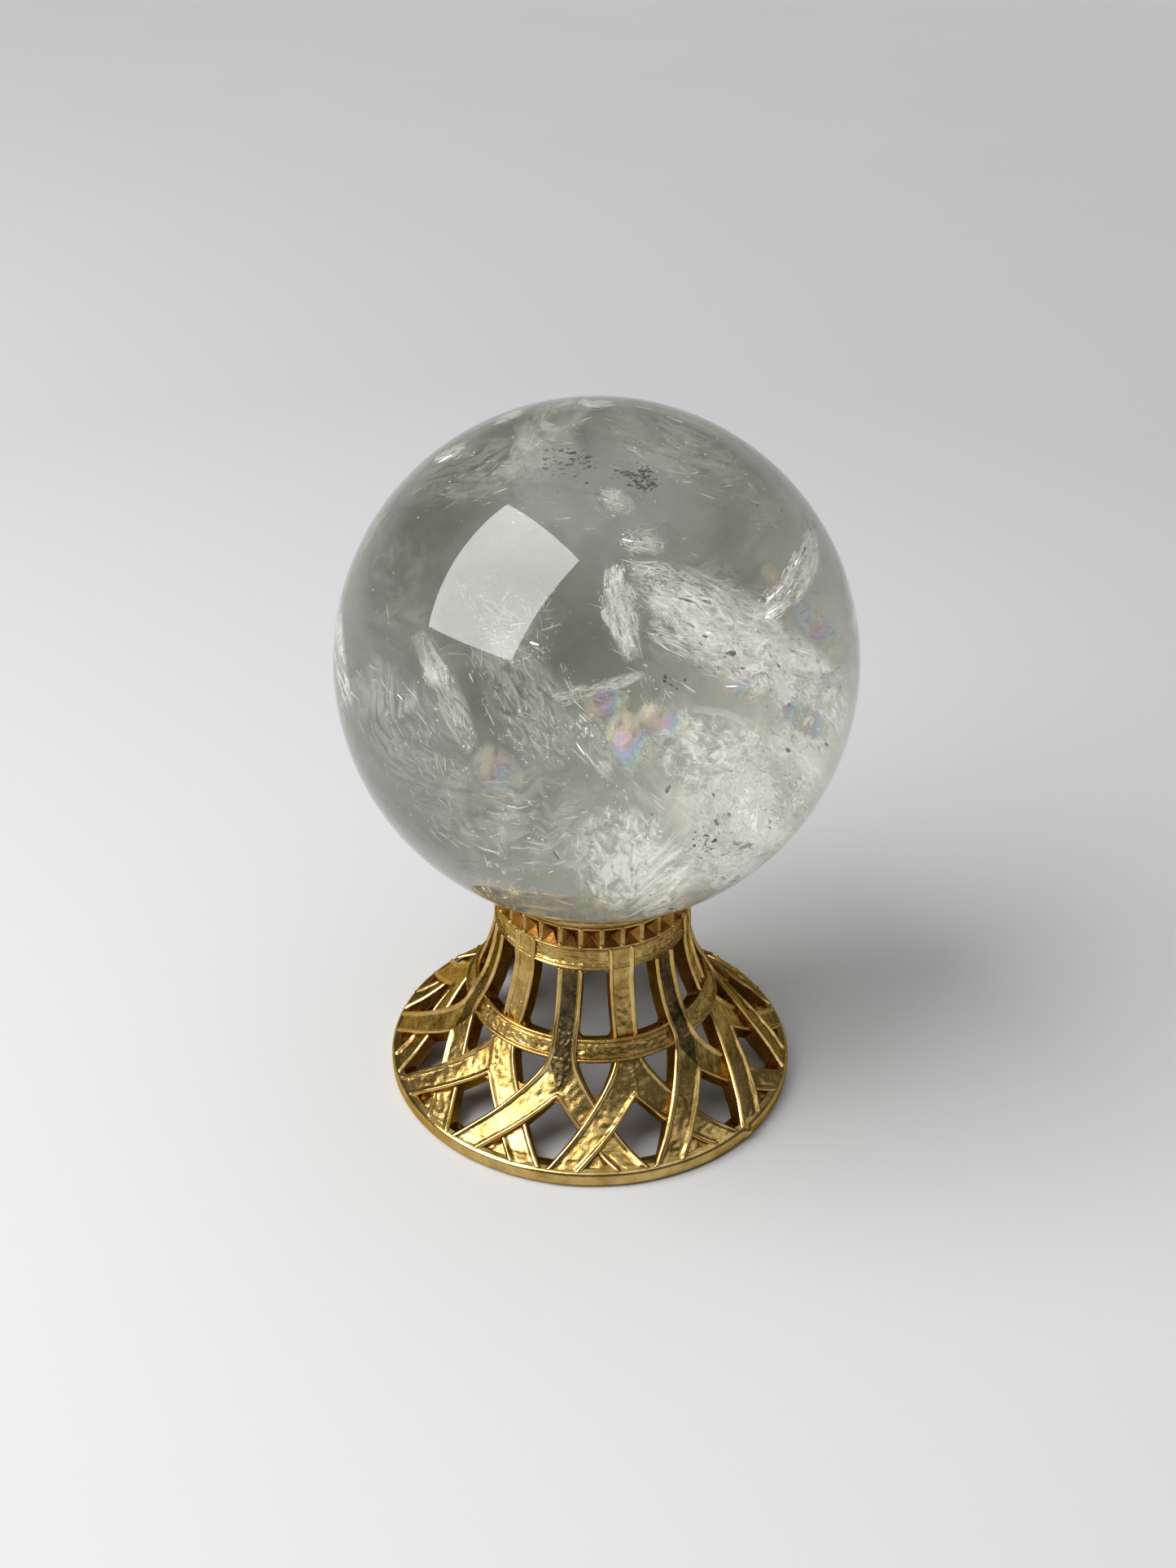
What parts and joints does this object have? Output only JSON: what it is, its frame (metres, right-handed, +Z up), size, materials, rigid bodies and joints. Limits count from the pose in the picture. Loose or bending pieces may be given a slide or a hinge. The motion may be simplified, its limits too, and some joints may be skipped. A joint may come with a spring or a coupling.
{
  "type": "crystal ball on stand",
  "caption": "Clear polished stone sphere with inner veils, resting loose on a flared openwork gold-plated stand of interlaced ribs.",
  "frame": {"origin": "centre of the stand's underside, on the surface that it rests on", "axes": "+Z up along the axis of the stand and through the ball's centre; rib_over_1 faces -Y"},
  "size_m": [0.06, 0.06, 0.0871],
  "materials": {
    "crystal": "polished natural quartz with pale feathery veils inside",
    "gold_plate": "gold-plated zinc casting, polished borders and hammered flats"
  },
  "bodies": {
    "stand": {"base_rim": "gold_plate", "rim_gussets": "gold_plate", "rib_over_1": "gold_plate", "rib_over_2": "gold_plate", "rib_over_3": "gold_plate", "rib_over_4": "gold_plate", "rib_over_5": "gold_plate", "rib_over_6": "gold_plate", "rib_under_1": "gold_plate", "rib_under_2": "gold_plate", "rib_under_3": "gold_plate", "rib_under_4": "gold_plate", "rib_under_5": "gold_plate", "rib_under_6": "gold_plate", "mid_ring": "gold_plate", "collar_band": "gold_plate", "bead_row": "gold_plate", "seat_lip": "gold_plate"},
    "ball": {"crystal_ball": "crystal"}
  },
  "joints": [
    {"name": "ball_lift", "type": "slide", "parent": "stand", "child": "ball", "axis": [0, 0, 1], "range_m": [0, 0.04]}
  ]
}
